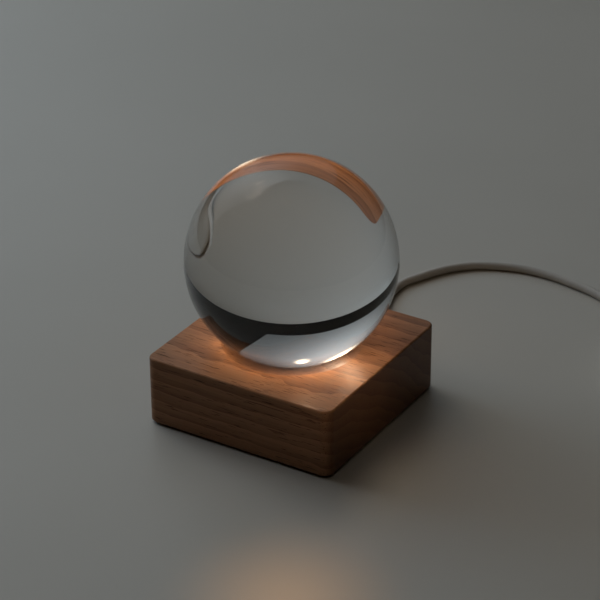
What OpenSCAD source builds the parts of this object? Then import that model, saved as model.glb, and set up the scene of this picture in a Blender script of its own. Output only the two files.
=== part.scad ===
// Clear glass ball resting in the dish of a lit wooden block, with its supply lead.
// The block's footprint is centred on the origin, z = 0 is the underside of the feet,
// the lead leaves through the back wall (+Y), and the ball's centre is on the Z axis.

/* [Ball] */
// Diameter of the glass ball
ball_d = 80; // [60:1:90]
// How far the ball's lowest point lies below the top face of the block
ball_sink = 6.3; // [4.5:0.1:7]

/* [Wooden block] */
// Side of the square block
base_w = 79.5; // [79:0.5:120]
// Thickness of the wood
base_t = 27.2; // [26:0.2:50]
// Radius of the four upright corners
corner_r = 4; // [1:0.5:7]
// Rounding of the top and bottom edges
edge_r = 0.8; // [0.2:0.1:1.5]
// Diameter of the dish at the top face
dish_d = 54; // [50:1:62]
// Diameter of the light well under the ball
well_d = 28; // [24:1:34]
// Gap between the ball and the rim of the well
seat_gap = 0.1; // [0.05:0.05:0.2]

/* [Lamp] */
// Thickness of the clear window
window_t = 2; // [1:0.5:3]
// Ledge that the window bears on, measured along the radius
window_ledge = 2.5; // [1.5:0.5:3]
// Gap between the ball's lowest point and the window
window_drop = 1.7; // [1:0.1:3]
// Height of the white ring between the board and the window
ring_h = 4; // [3:0.5:5]
// How far the board reaches past the circle of its screws
board_edge = 3.2; // [2.5:0.1:4]
// Thickness of the circuit board
board_t = 1.6; // [1:0.2:2]
// Number of lamps
led_count = 4; // [3:1:6]
// Diameter of the circle that the lamps stand on
led_ring_d = 13; // [10:1:16]
// Side of one square lamp
led_w = 3.5; // [2.5:0.5:4]

/* [Cavity and cover] */
// Gap between the board's edge and the wall of the cavity in the underside
cavity_gap = 5; // [4.5:0.5:6]
// How far the bottom cover laps the cavity's rim
cover_lap = 5; // [5:0.5:6]
// Thickness of the bottom cover
cover_t = 2; // [1.5:0.5:3]
// Diameter of one rubber foot
foot_d = 8; // [6:0.5:8]
// How far the feet stand below the wood
foot_out = 0.8; // [0.5:0.1:2]

/* [Lead and switch] */
// Diameter of the round lead
lead_d = 3.5; // [3:0.1:4.2]
// Gap between the top of the lead and the circuit board
lead_drop = 2.15; // [2.05:0.05:2.6]
// Length of the tapered strain relief behind the block
relief_len = 14; // [10:1:20]
// Length of the switch housing
switch_len = 34; // [30:1:36]
// Width of the switch housing
switch_w = 15; // [14:0.5:18]
// Height of the switch housing
switch_h = 10.4; // [10:0.2:13]
// Diameter of the push button
button_d = 7; // [5:0.5:8]
// Travel of the push button
button_travel = 1.2; // [0.8:0.1:1.5]

/* [Coil and plug] */
// Diameter across the middle of the coil's turns
coil_d = 40; // [36:1:42]
// Length of the plug's moulded grip
grip_len = 24; // [20:1:28]

/* [Hidden] */
$fn = 96;

fit = 0.2;    // loose fit, on the diameter
snug = 0.05;  // close fit, on the radius
past = 1;     // how far a cutter runs past the face it cuts

// Levels of the block, from the table up
wood_z0 = foot_out;
wood_z1 = foot_out + base_t;
ball_r = ball_d / 2;
ball_z = wood_z1 - ball_sink + ball_r;
well_r = well_d / 2;
dish_r = dish_d / 2;
lip_z = ball_z - sqrt(pow(ball_r + seat_gap, 2) - pow(well_r, 2));
ledge_z = wood_z1 - ball_sink - window_drop;
window_r = well_r + window_ledge;
board_top = ledge_z - window_t - ring_h;
board_z = board_top - board_t;
cover_z0 = wood_z0 + 0.2;
cover_z1 = cover_z0 + cover_t;
back_y = base_w / 2;

// Lamps and what is soldered to the board
led_h = 1.4;
cup_r = 0.38 * led_w;
cup_depth = 0.6;
pad_x = 3;
pad_y = 10;
joint_r = 1.4;
wire_d = 1.1;
wire_x = 0.9;
chip = [3.2, 1.6, 0.6];
chip_x = 7;
chip_y = -8;

// Screws: shank radius, head radius, length under the head
board_screw = [1, 1.9, 6];
board_screw_gap = 1.4;  // between the white ring and the screw's head
board_screw_r = window_r + board_screw_gap + board_screw[1];
board_screw_turns = [30, 150, 270];
board_r = board_screw_r + board_edge;
cavity_r = board_r + cavity_gap;
cover_r = cavity_r + cover_lap;
cover_screw = [1.1, 2.1, 8];
cover_screw_r = (cavity_r + cover_r) / 2;
cover_screw_turns = [45, 135, 225, 315];
slot_w = 0.5;

// Feet
foot_r = foot_d / 2;
foot_seat = 1.2;
foot_at = base_w / 2 - max(corner_r, foot_r) - 1.8;

// Lead, from the stop tie inside to the end of the strain relief
lead_r = lead_d / 2;
lead_z = board_z - lead_drop - lead_r;
bush_r = lead_r + 1.6;
bush_y = cavity_r - 0.6;
tie_w = 2.4;
tie_wall = 1.1;
tie_head = [3.8, 3.6];  // width, and height above the lead
tie_y = bush_y - tie_w - 0.4;
lead_start = tie_y - 4.6;
flange_r = lead_r + 2.9;
flange_t = 1.5;
relief_r0 = lead_r + 1.5;
relief_r1 = lead_r + 0.6;
exit_y = back_y + flange_t + relief_len;
straight = 4;  // the lead runs straight for this far at each end that something holds

// Switch: where it lies, from the end of the strain relief, and which way its axis points
switch_at = [101, exit_y + 34];
switch_turn = -64;
switch_z = 4.2;
shell_wall = 1.4;
shell_corner = 3;
nose_len = 5;
nose_r0 = 3.3;
nose_r1 = 2.6;
half_len = switch_len / 2;
switch_reach = half_len + nose_len;
way = [cos(switch_turn), sin(switch_turn)];
button_r = button_d / 2;
button_gap = 0.15;
button_out = 2;
button_flange_r = button_r + 1;
button_flange_t = 0.9;
flange_z1 = switch_h - shell_wall - 0.05;
flange_z0 = flange_z1 - button_flange_t;
contact = [3.2, 3, 0.4];
contact_h = 2.2;
contact_x = 6.5;
bridge = [15, 2.4, 0.4];
bridge_z = shell_wall + contact_h + button_travel + 0.1;
stem_r = 1.2;
spring_z0 = 2.2;
spring_r = 2;
spring_wire = 0.4;
spring_turns = 3;
switch_screw = [0.8, 1.5, 5.2];
switch_screw_x = half_len - 3.6;
switch_screw_y = switch_w / 2 - 3.3;
lead_end_x = half_len - 4;

// Coil: three turns beside each other in each of two layers
coil_at = [139, exit_y + 10];
coil_lift = 0.6;
coil_beside = 3;
coil_layers = 2;
coil_r = coil_d / 2;
coil_in = coil_r - coil_beside * lead_r;
coil_out = coil_r + coil_beside * lead_r;
coil_h = coil_layers * lead_d;
coil_last_r = coil_out - lead_r;
enter_turn = switch_turn - 90;
enter_z = coil_lift + lead_r;
leave_z = coil_lift + coil_h - lead_r;
coil_tie_turn = 100;
coil_tie_w = 5;
coil_tie_wall = 0.8;
coil_tie_floor = 0.5;

// Plug: its grip starts where the lead ends, and it points along +Y
plug_at = [156, exit_y + 38];
relief_plug = 10;
grip = [15.6, grip_len, 7.8];
grip_y = relief_plug;
grip_corner = 2.4;
shell_out = [12, 12, 4.5];
shell_in_grip = 6;
shell_sheet = 0.3;
plug_z = grip[2] / 2;
tongue = [11.2, 10.6, 1.8];
pin_w = 1;
pin_t = 0.15;
pin_pitch = [-3.5, -1, 1, 3.5];

// Points that the lead passes, from the end of the strain relief: x, y, and how high
// the lead's underside is above the table. Out of the back wall, down, and round.
run_points = [
  [-1, 12, 4.6], [-3.5, 19, 2.4], [-6.5, 26, 0.8], [-9, 34, 0], [-10.5, 42, 0],
  [-10, 49.5, 0], [-7.5, 55.5, 0], [-3.5, 64, 0], [2, 72, 0], [9, 78.5, 0],
  [17, 82.5, 0], [25, 85, 0], [34, 86, 0], [43, 85.5, 0], [52, 84, 0], [60.5, 82, 0],
  [69, 78.5, 0], [77, 73.5, 0], [83.5, 67, 0.4], [87.5, 60.5, 1.6]
];
coil_points = [[114.5, 6.5, 1.4]];
plug_points = [[162, 18, 3.2], [159.6, 25, 2.2]];

function from_exit(points) = [for (p = points) p + [0, exit_y, lead_r]];
function on_switch(x) = concat(switch_at + x * way, [switch_z]);

run_route = concat(
  [[0, exit_y, lead_z], [0, exit_y + straight, lead_z]], from_exit(run_points),
  [on_switch(-switch_reach - straight), on_switch(-switch_reach)]
);
coil_route = concat(
  [on_switch(switch_reach), on_switch(switch_reach + straight)], from_exit(coil_points),
  [concat(coil_at + coil_last_r * [cos(enter_turn), sin(enter_turn)], [enter_z])]
);
plug_route = concat(
  [[coil_at[0] + coil_last_r, coil_at[1], leave_z]], from_exit(plug_points),
  [[plug_at[0], plug_at[1] - straight, plug_z], [plug_at[0], plug_at[1], plug_z]]
);

// ---- Sweeping a round section along a list of points ----

function unit(v) = v / norm(v);
function heading(p, i) =
  unit(p[min(i + 1, len(p) - 1)] - p[max(i - 1, 0)]);
// The first sideways direction is level, and each later one is the last one kept square
function sideways(p, i = 0, last = undef) =
  let (
    t = heading(p, i),
    s = is_undef(last) ? unit(cross([0, 0, 1], t)) : unit(last - (last * t) * t)
  )
  i == len(p) - 1 ? [s] : concat([s], sideways(p, i + 1, s));

module tube(p, r, sides) {
  s = sideways(p);
  rings = [
    for (i = [0:len(p) - 1])
      let (t = heading(p, i), a = s[i], b = cross(t, a))
      for (k = [0:sides - 1])
        p[i] + r * (cos(360 * k / sides) * a + sin(360 * k / sides) * b)
  ];
  walls = [
    for (i = [0:len(p) - 2])
      for (k = [0:sides - 1])
        let (n = (k + 1) % sides, j = i * sides)
        [j + k, j + sides + k, j + sides + n, j + n]
  ];
  first = [for (k = [0:sides - 1]) k];
  last = [for (k = [sides - 1:-1:0]) (len(p) - 1) * sides + k];
  polyhedron(rings, concat([first, last], walls), convexity = 6);
}

// ---- Shared shapes ----

module ring(r_out, r_in, h) {
  difference() {
    cylinder(r = r_out, h = h);
    translate([0, 0, -past]) cylinder(r = r_in, h = h + 2 * past);
  }
}

// Side view of one half of the block: a rectangle with its outer corners rounded
module edge_profile(half, z0, z1, r) {
  translate([0, z0 + r]) square([half, z1 - z0 - 2 * r]);
  translate([0, z0]) square([half - r, z1 - z0]);
  for (z = [z0 + r, z1 - r]) translate([half - r, z]) circle(r = r, $fn = 48);
}

module bar_profile(half, z0, z1, r) {
  edge_profile(half, z0, z1, r);
  mirror([1, 0]) edge_profile(half, z0, z1, r);
}

// Square block with round upright corners and rounded top and bottom edges
module rounded_block(w, z0, z1, r_corner, r_edge) {
  inner = w / 2 - r_corner;
  for (turn = [0, 90])
    rotate([0, 0, turn])
      translate([0, inner, 0])
        rotate([90, 0, 0])
          linear_extrude(2 * inner) bar_profile(w / 2, z0, z1, r_edge);
  for (x = [-inner, inner], y = [-inner, inner])
    translate([x, y, 0])
      rotate_extrude()
        intersection() {
          edge_profile(r_corner, z0, z1, r_edge);
          square([r_corner, z1]);
        }
}

// Plate with round corners, centred, from z = 0 up
module rounded_plate(l, w, h, r) {
  translate([-l / 2 + r, -w / 2, 0]) cube([l - 2 * r, w, h]);
  translate([-l / 2, -w / 2 + r, 0]) cube([l, w - 2 * r, h]);
  for (x = [-l / 2 + r, l / 2 - r], y = [-w / 2 + r, w / 2 - r])
    translate([x, y, 0]) cylinder(r = r, h = h);
}

module around(radius, turns) {
  for (a = turns) rotate([0, 0, a]) translate([radius, 0, 0]) children();
}

// Round-headed screw pointing up, its head's bearing face at z = 0
module pan_screw(size) {
  difference() {
    union() {
      cylinder(r = size[0], h = size[2]);
      translate([0, 0, -0.8 * size[1] / 2]) cylinder(r = size[1], h = 0.4 * size[1]);
      translate([0, 0, -0.7 * size[1]])
        cylinder(r1 = 0.6 * size[1], r2 = size[1], h = 0.3 * size[1]);
    }
    cross_slot(size[1], -0.7 * size[1]);
  }
}

// Countersunk screw pointing up, the flat of its head at z = 0
module flat_screw(size) {
  difference() {
    union() {
      cylinder(r = size[0], h = size[2]);
      cylinder(r1 = size[1], r2 = size[0], h = size[1] - size[0]);
    }
    cross_slot(size[1], 0);
  }
}

module cross_slot(head_r, z) {
  for (a = [0, 90])
    rotate([0, 0, a])
      translate([-0.6 * head_r, -slot_w / 2, z - past])
        cube([1.2 * head_r, slot_w, past + 0.5]);
}

// ---- Ball and block ----

module crystal_ball() {
  color([0.86, 0.9, 0.92, 0.35]) translate([0, 0, ball_z]) sphere(r = ball_r, $fn = 128);
}

module base_block() {
  color([0.36, 0.2, 0.11])
    difference() {
      rounded_block(base_w, wood_z0, wood_z1, corner_r, edge_r);
      // dish, light well, window ledge and light chamber
      rotate_extrude()
        polygon([
          [0, board_top - past], [window_r + snug, board_top - past],
          [window_r + snug, ledge_z], [well_r, ledge_z], [well_r, lip_z],
          [dish_r, wood_z1], [dish_r, wood_z1 + past], [0, wood_z1 + past]
        ]);
      // cavity and cover seat in the underside
      translate([0, 0, wood_z0 - past]) cylinder(r = cavity_r, h = board_top - wood_z0 + past);
      translate([0, 0, wood_z0 - past])
        cylinder(r = cover_r + fit, h = cover_z1 - wood_z0 + past);
      // way out for the lead
      translate([0, 0, lead_z]) rotate([-90, 0, 0]) cylinder(r = bush_r + snug, h = base_w);
      // pilot holes and foot seats
      translate([0, 0, board_top - past])
        around(board_screw_r, board_screw_turns)
          cylinder(r = board_screw[0] + snug, h = board_screw[2] - board_t + 0.4 + past);
      translate([0, 0, cover_z1 - past])
        around(cover_screw_r, cover_screw_turns)
          cylinder(r = cover_screw[0] + snug, h = cover_screw[2] - cover_t + 0.4 + past);
      foot_places()
        translate([0, 0, wood_z0 - past]) cylinder(r = foot_r + fit / 2, h = foot_seat + past);
    }
}

module bottom_cover() {
  color([0.12, 0.12, 0.13])
    difference() {
      translate([0, 0, cover_z0]) cylinder(r = cover_r, h = cover_t);
      around(cover_screw_r, cover_screw_turns)
        translate([0, 0, cover_z0 - past]) {
          cylinder(r = cover_screw[0] + snug, h = cover_t + 2 * past);
          cylinder(r = cover_screw[1] + snug, h = past);
          translate([0, 0, past])
            cylinder(
              r1 = cover_screw[1] + snug, r2 = cover_screw[0] + snug,
              h = cover_screw[1] - cover_screw[0]
            );
        }
    }
}

module cover_screws() {
  color([0.75, 0.75, 0.77])
    around(cover_screw_r, cover_screw_turns) translate([0, 0, cover_z0]) flat_screw(cover_screw);
}

module foot_places() {
  for (x = [-foot_at, foot_at], y = [-foot_at, foot_at]) translate([x, y, 0]) children();
}

module rubber_feet() {
  color([0.1, 0.1, 0.1])
    foot_places() cylinder(r = foot_r, h = foot_out + foot_seat);
}

// ---- Lamp ----

module light_window() {
  color([0.93, 0.95, 0.96, 0.5])
    translate([0, 0, ledge_z - window_t]) cylinder(r = window_r, h = window_t);
}

module reflector_ring() {
  color([0.95, 0.95, 0.93])
    translate([0, 0, board_top])
      rotate_extrude()
        polygon([
          [window_r - 3.5, 0], [window_r, 0], [window_r, ring_h],
          [window_r - 1.5, ring_h], [window_r - 3.2, 0.8], [window_r - 3.5, 0.8]
        ]);
}

module led_board() {
  color([0.92, 0.93, 0.9])
    translate([0, 0, board_z])
      difference() {
        cylinder(r = board_r, h = board_t);
        translate([0, 0, -past])
          around(board_screw_r, board_screw_turns)
            cylinder(r = board_screw[0] + 0.15, h = board_t + 2 * past);
      }
}

module led_places() {
  translate([0, 0, board_top])
    around(led_ring_d / 2, [for (i = [0:led_count - 1]) 45 + 360 * i / led_count]) children();
}

module led_packages() {
  color([0.96, 0.96, 0.93])
    led_places()
      difference() {
        translate([-led_w / 2, -led_w / 2, 0]) cube([led_w, led_w, led_h]);
        translate([0, 0, led_h - cup_depth]) cylinder(r = cup_r, h = cup_depth + past, $fn = 32);
      }
}

module led_phosphor() {
  color([0.98, 0.85, 0.3])
    led_places()
      translate([0, 0, led_h - cup_depth]) cylinder(r = cup_r, h = cup_depth - 0.05, $fn = 32);
}

module chip_resistors() {
  color([0.1, 0.1, 0.11])
    for (x = [-chip_x, 0, chip_x])
      translate([x - chip[1] / 2, chip_y - chip[0] / 2, board_z - chip[2]])
        cube([chip[1], chip[0], chip[2]]);
}

module solder_joints() {
  color([0.78, 0.78, 0.8])
    for (x = [-pad_x, pad_x])
      translate([x, pad_y, board_z])
        rotate_extrude() intersection() {
          circle(r = joint_r, $fn = 48);
          translate([0, -joint_r]) square([joint_r, joint_r]);
        }
}

module board_screws() {
  color([0.78, 0.78, 0.8])
    around(board_screw_r, board_screw_turns) translate([0, 0, board_z]) pan_screw(board_screw);
}

// From the end of the lead to the pads under the board
module board_wire(side) {
  function y_at(share) = pad_y + share * (lead_start - pad_y);
  tube(
    [
      [side * wire_x, y_at(1), lead_z], [side * wire_x, y_at(0.8), lead_z],
      [side * 1.6, y_at(0.58), lead_z - 0.4], [side * 2.5, y_at(0.35), lead_z],
      [side * pad_x, y_at(0.17), lead_z + 1.2],
      [side * pad_x, y_at(0.04), board_z - 1.2], [side * pad_x, y_at(0), board_z - 0.3]
    ],
    wire_d / 2, 8
  );
}

module wire_red() {
  color([0.75, 0.08, 0.06]) board_wire(-1);
}

module wire_black() {
  color([0.08, 0.08, 0.08]) board_wire(1);
}

// ---- Lead where the block holds it ----

module along_y(y, z) {
  translate([0, y, z]) rotate([-90, 0, 0]) children();
}

module lead_inner() {
  color([0.85, 0.84, 0.8]) along_y(lead_start, lead_z) cylinder(r = lead_r, h = exit_y - lead_start);
}

module lead_tie() {
  color([0.93, 0.93, 0.9])
    along_y(tie_y, lead_z) {
      ring(lead_r + tie_wall, lead_r, tie_w);
      difference() {
        translate([-tie_head[0] / 2, -lead_r - tie_head[1], 0])
          cube([tie_head[0], tie_head[1], tie_w]);
        translate([0, 0, -past]) cylinder(r = lead_r + tie_wall / 2, h = tie_w + 2 * past);
      }
    }
}

module cable_grommet() {
  color([0.8, 0.79, 0.75])
    difference() {
      union() {
        along_y(bush_y, lead_z) cylinder(r = bush_r, h = back_y - bush_y);
        along_y(back_y, lead_z) cylinder(r = flange_r, h = flange_t);
        along_y(back_y + flange_t, lead_z) cylinder(r1 = relief_r0, r2 = relief_r1, h = relief_len);
      }
      along_y(bush_y - past, lead_z) cylinder(r = lead_r + snug, h = exit_y - bush_y + 2 * past);
    }
}

// ---- Free lead ----

module lead_run() {
  color([0.85, 0.84, 0.8]) tube(run_route, lead_r, 8);
}

module lead_to_coil() {
  color([0.85, 0.84, 0.8]) tube(coil_route, lead_r, 8);
}

module lead_to_plug() {
  color([0.85, 0.84, 0.8]) tube(plug_route, lead_r, 8);
}

module cord_coil() {
  color([0.85, 0.84, 0.8])
    translate([coil_at[0], coil_at[1], coil_lift])
      rotate_extrude() translate([coil_in, 0]) square([coil_out - coil_in, coil_h]);
}

// Flat band round the bundle of turns
module coil_tie() {
  inner = sqrt(pow(coil_in, 2) - pow(coil_tie_w / 2, 2)) - 0.1;
  outer = coil_out + 0.1;
  top = coil_lift + coil_h + 0.1;
  color([0.08, 0.08, 0.09])
    translate([coil_at[0], coil_at[1], 0])
      rotate([0, 0, coil_tie_turn])
        difference() {
          translate([inner - coil_tie_wall, -coil_tie_w / 2, 0])
            cube([outer - inner + 2 * coil_tie_wall, coil_tie_w, top + coil_tie_wall]);
          translate([inner, -coil_tie_w, coil_tie_floor])
            cube([outer - inner, 2 * coil_tie_w, top - coil_tie_floor]);
        }
}

// ---- Switch in the lead ----

module at_switch() {
  translate([switch_at[0], switch_at[1], 0]) rotate([0, 0, switch_turn]) children();
}

module nose(r0, r1, x0, len) {
  for (side = [0, 180])
    rotate([0, 0, side])
      translate([x0, 0, switch_z]) rotate([0, 90, 0]) cylinder(r1 = r0, r2 = r1, h = len);
}

// Outside of both halves of the housing, and the hollow inside them
module switch_body() {
  rounded_plate(switch_len, switch_w, switch_h, shell_corner);
  nose(nose_r0, nose_r1, half_len - 0.5, nose_len + 0.5);
}

module switch_hollow() {
  translate([0, 0, shell_wall])
    rounded_plate(
      switch_len - 2 * shell_wall, switch_w - 2 * shell_wall,
      switch_h - 2 * shell_wall, shell_corner - shell_wall
    );
  nose(lead_r + snug, lead_r + snug, half_len - 2 * shell_wall, nose_len + 3 * shell_wall);
}

module switch_lower_shell() {
  color([0.9, 0.89, 0.86])
    at_switch() {
      difference() {
        intersection() {
          switch_body();
          translate([-switch_reach, -switch_w, 0]) cube([2 * switch_reach, 2 * switch_w, switch_z]);
        }
        difference() {
          switch_hollow();
          switch_screw_columns(switch_screw[1] + 0.3, 0, switch_z);
        }
        switch_screw_columns(switch_screw[0] + snug, -past, switch_z + past);
        switch_screw_columns(switch_screw[1] + snug, -past, shell_wall);
      }
      translate([0, 0, shell_wall]) ring(spring_r + 1, spring_r - 1.2, spring_z0 - shell_wall);
    }
}

module switch_screw_columns(r, z0, z1) {
  for (x = [-switch_screw_x, switch_screw_x])
    translate([x, sign(x) * switch_screw_y, z0]) cylinder(r = r, h = z1 - z0, $fn = 32);
}

module switch_upper_shell() {
  color([0.9, 0.89, 0.86])
    at_switch()
      difference() {
        intersection() {
          switch_body();
          translate([-switch_reach, -switch_w, switch_z])
            cube([2 * switch_reach, 2 * switch_w, switch_h]);
        }
        difference() {
          switch_hollow();
          switch_screw_columns(switch_screw[1] + 0.3, switch_z, switch_h);
        }
        switch_screw_columns(
          switch_screw[0] + snug, switch_z - past, shell_wall + switch_screw[2] + 0.2
        );
        translate([0, 0, switch_z]) cylinder(r = button_r + button_gap, h = switch_h);
      }
}

module switch_button() {
  color([0.82, 0.8, 0.76])
    at_switch() {
      translate([0, 0, flange_z0]) cylinder(r = button_r, h = switch_h + button_out - flange_z0);
      translate([0, 0, flange_z0]) cylinder(r = button_flange_r, h = button_flange_t);
      translate([0, 0, bridge_z + bridge[2]])
        cylinder(r = stem_r, h = flange_z0 - bridge_z - bridge[2]);
    }
}

// Strip that joins the two contacts when the button is down
module switch_bridge() {
  color([0.85, 0.68, 0.3])
    at_switch() translate([-bridge[0] / 2, -bridge[1] / 2, bridge_z]) cube(bridge);
}

// Open spring between the seat in the lower shell and the bridge
module switch_spring() {
  r = spring_wire / 2;
  rise = bridge_z - spring_z0 - 2 * r;
  steps = 12 * spring_turns;
  helix = [
    for (i = [0:steps])
      [
        spring_r * cos(360 * spring_turns * i / steps),
        spring_r * sin(360 * spring_turns * i / steps),
        spring_z0 + r + rise * i / steps
      ]
  ];
  color([0.75, 0.76, 0.78]) at_switch() tube(helix, r, 6);
}

module switch_contacts() {
  color([0.85, 0.68, 0.3])
    at_switch()
      for (side = [-1, 1])
        translate([side * contact_x, -contact[1] / 2, shell_wall]) {
          translate([-contact[0] / 2, 0, 0]) cube(contact);
          translate([-contact[2] / 2, 0, 0]) cube([contact[2], contact[1], contact_h]);
        }
}

module switch_lead_ends() {
  color([0.85, 0.84, 0.8])
    at_switch()
      for (side = [0, 180])
        rotate([0, 0, side])
          translate([lead_end_x, 0, switch_z])
            rotate([0, 90, 0]) cylinder(r = lead_r, h = switch_reach - lead_end_x);
}

// One live wire to each contact
module switch_wires_red() {
  color([0.75, 0.08, 0.06])
    at_switch()
      for (side = [0, 1])
        mirror([side, 0, 0])
          tube(
            [
              [lead_end_x, -0.8, switch_z], [lead_end_x - 1.5, -0.8, switch_z - 0.2],
              [lead_end_x - 3.8, -0.5, switch_z - 1],
              [contact_x + contact[2] / 2, 0, switch_z - 1.5]
            ],
            wire_d / 2, 8
          );
}

// The return wire goes straight through, round the contacts
module switch_wire_black() {
  half = [
    [lead_end_x, 0.8, switch_z], [lead_end_x - 2, 1.5, switch_z - 0.6],
    [lead_end_x - 3.8, 3.3, switch_z - 1.6], [contact_x, 4.8, switch_z - 2]
  ];
  back = [for (i = [len(half) - 1:-1:0]) [-half[i][0], half[i][1], half[i][2]]];
  color([0.08, 0.08, 0.08]) at_switch() tube(concat(half, back), wire_d / 2, 8);
}

module switch_screws() {
  color([0.78, 0.78, 0.8])
    at_switch()
      for (x = [-switch_screw_x, switch_screw_x])
        translate([x, sign(x) * switch_screw_y, shell_wall])
          difference() {
            union() {
              cylinder(r = switch_screw[0], h = switch_screw[2], $fn = 32);
              translate([0, 0, -0.9]) cylinder(r = switch_screw[1], h = 0.9, $fn = 32);
            }
            cross_slot(switch_screw[1], -0.9);
          }
}

// ---- Plug ----

module at_plug() {
  translate([plug_at[0], plug_at[1], plug_z]) children();
}

module along_plug(y) {
  translate([0, y, 0]) rotate([-90, 0, 0]) children();
}

module plug_overmould() {
  color([0.84, 0.83, 0.79])
    at_plug()
      difference() {
        union() {
          along_plug(0) cylinder(r1 = lead_r + 0.5, r2 = lead_r + 1.4, h = relief_plug);
          along_plug(grip_y) rounded_plate(grip[0], grip[2], grip[1], grip_corner);
        }
        along_plug(grip_y + grip[1] - shell_in_grip)
          box_on_axis(shell_out, shell_in_grip + past);
      }
}

module box_on_axis(size, length) {
  translate([-size[0] / 2, -size[2] / 2, 0]) cube([size[0], size[2], length]);
}

module plug_shell() {
  y0 = grip_y + grip[1] - shell_in_grip;
  length = shell_in_grip + shell_out[1];
  color([0.78, 0.79, 0.8])
    at_plug()
      difference() {
        along_plug(y0) box_on_axis(shell_out, length);
        along_plug(y0 - past)
          box_on_axis(
            [shell_out[0] - 2 * shell_sheet, 0, shell_out[2] - 2 * shell_sheet],
            length + 2 * past
          );
        for (x = [-2.9, 2.9])
          translate([x - 1.1, y0 + length - 6.6, 0]) cube([2.2, 2.2, shell_out[2]]);
      }
}

module plug_tongue() {
  y0 = grip_y + grip[1] - shell_in_grip;
  color([0.95, 0.95, 0.93])
    at_plug()
      translate([-tongue[0] / 2, y0, -shell_out[2] / 2 + shell_sheet + 0.05])
        cube([tongue[0], shell_in_grip + tongue[1], tongue[2]]);
}

module plug_contacts() {
  y0 = grip_y + grip[1];
  color([0.85, 0.68, 0.3])
    at_plug()
      for (x = pin_pitch)
        translate([x - pin_w / 2, y0 + 1, -shell_out[2] / 2 + shell_sheet + 0.05 + tongue[2]])
          cube([pin_w, tongue[1] - 2.2, pin_t]);
}

crystal_ball();
base_block();
light_window();
reflector_ring();
led_board();
led_packages();
led_phosphor();
chip_resistors();
solder_joints();
board_screws();
wire_red();
wire_black();
lead_inner();
lead_tie();
cable_grommet();
bottom_cover();
cover_screws();
rubber_feet();
lead_run();
switch_lower_shell();
switch_upper_shell();
switch_button();
switch_bridge();
switch_spring();
switch_contacts();
switch_lead_ends();
switch_wires_red();
switch_wire_black();
switch_screws();
lead_to_coil();
cord_coil();
coil_tie();
lead_to_plug();
plug_overmould();
plug_shell();
plug_tongue();
plug_contacts();
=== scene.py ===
# %% [markdown]
# # A glass ball on a lit wooden block
# The object is a clear glass ball that rests in the dish of a small wooden block. Lamps in
# the block shine up into the ball, and a thin lead with a push switch feeds them. The sizes
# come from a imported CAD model, which stays as it is: this lesson gives it its finish, and
# makes the pieces whose look a CAD solid can't carry, such as the soft lead.

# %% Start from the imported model
import math

import bpy
import numpy as np
from mathutils import Matrix, Vector


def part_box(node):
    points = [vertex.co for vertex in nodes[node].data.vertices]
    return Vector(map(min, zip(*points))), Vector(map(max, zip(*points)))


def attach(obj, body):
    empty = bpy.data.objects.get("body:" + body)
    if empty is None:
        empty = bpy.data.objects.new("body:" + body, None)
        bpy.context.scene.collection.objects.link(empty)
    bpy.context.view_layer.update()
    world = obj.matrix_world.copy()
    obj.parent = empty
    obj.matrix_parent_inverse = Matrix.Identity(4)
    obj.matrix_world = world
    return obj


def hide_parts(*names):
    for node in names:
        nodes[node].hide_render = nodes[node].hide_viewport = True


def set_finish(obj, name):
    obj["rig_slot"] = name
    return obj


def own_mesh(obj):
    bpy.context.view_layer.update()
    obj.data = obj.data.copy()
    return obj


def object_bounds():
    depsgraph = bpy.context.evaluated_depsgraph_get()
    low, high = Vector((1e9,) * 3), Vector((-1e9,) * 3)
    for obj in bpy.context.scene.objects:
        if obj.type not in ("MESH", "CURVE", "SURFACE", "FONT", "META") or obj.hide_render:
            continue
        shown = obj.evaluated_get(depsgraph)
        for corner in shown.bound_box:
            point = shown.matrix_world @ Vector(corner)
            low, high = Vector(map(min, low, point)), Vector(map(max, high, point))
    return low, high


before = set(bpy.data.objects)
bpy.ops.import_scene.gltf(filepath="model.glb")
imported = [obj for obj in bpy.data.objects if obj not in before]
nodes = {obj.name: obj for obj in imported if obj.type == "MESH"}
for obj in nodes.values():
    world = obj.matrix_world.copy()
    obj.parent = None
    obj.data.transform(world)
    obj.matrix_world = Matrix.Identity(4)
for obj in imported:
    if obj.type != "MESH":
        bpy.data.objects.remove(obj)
cad_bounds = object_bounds()
scene = bpy.context.scene
MM = 0.001
MW = 0.001
cad_size = cad_bounds[1] - cad_bounds[0]
print(len(nodes), "CAD nodes, size in mm:", [round(side / MM, 1) for side in cad_size])

# %% [markdown]
# ## The camera
# A long lens from some distance keeps the block's edges almost parallel. The camera could be
# placed by its own coordinates, but here it is placed by the point it looks at, two angles
# and a distance, because each of those changes one thing about the view. A small roll is
# added about its own axis.

# %% Camera
AIM = Vector((2.55, 1.58, 44.92)) * MM
VIEW_TURN = math.radians(31.779)
VIEW_DROP = math.radians(28.555)
VIEW_ROLL = math.radians(-0.349)
VIEW_DISTANCE = 0.8991
LENS_MM, SENSOR_MM = 144.56, 36


def direction(turn, rise):
    """Unit vector that points turn to the left of +Y, seen from above, and rise above level."""
    return Vector((-math.sin(turn) * math.cos(rise), math.cos(turn) * math.cos(rise), math.sin(rise)))


looking = direction(VIEW_TURN, -VIEW_DROP)
lens = bpy.data.cameras.new("camera")
lens.lens, lens.sensor_width = LENS_MM, SENSOR_MM
camera = bpy.data.objects.new("camera", lens)
camera.location = AIM - VIEW_DISTANCE * looking
camera.rotation_euler = (
    looking.to_track_quat("-Z", "Y").to_matrix() @ Matrix.Rotation(VIEW_ROLL, 3, "Z")
).to_euler()
scene.collection.objects.link(camera)
scene.camera = camera
print("camera at", [round(c, 4) for c in camera.location])

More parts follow.
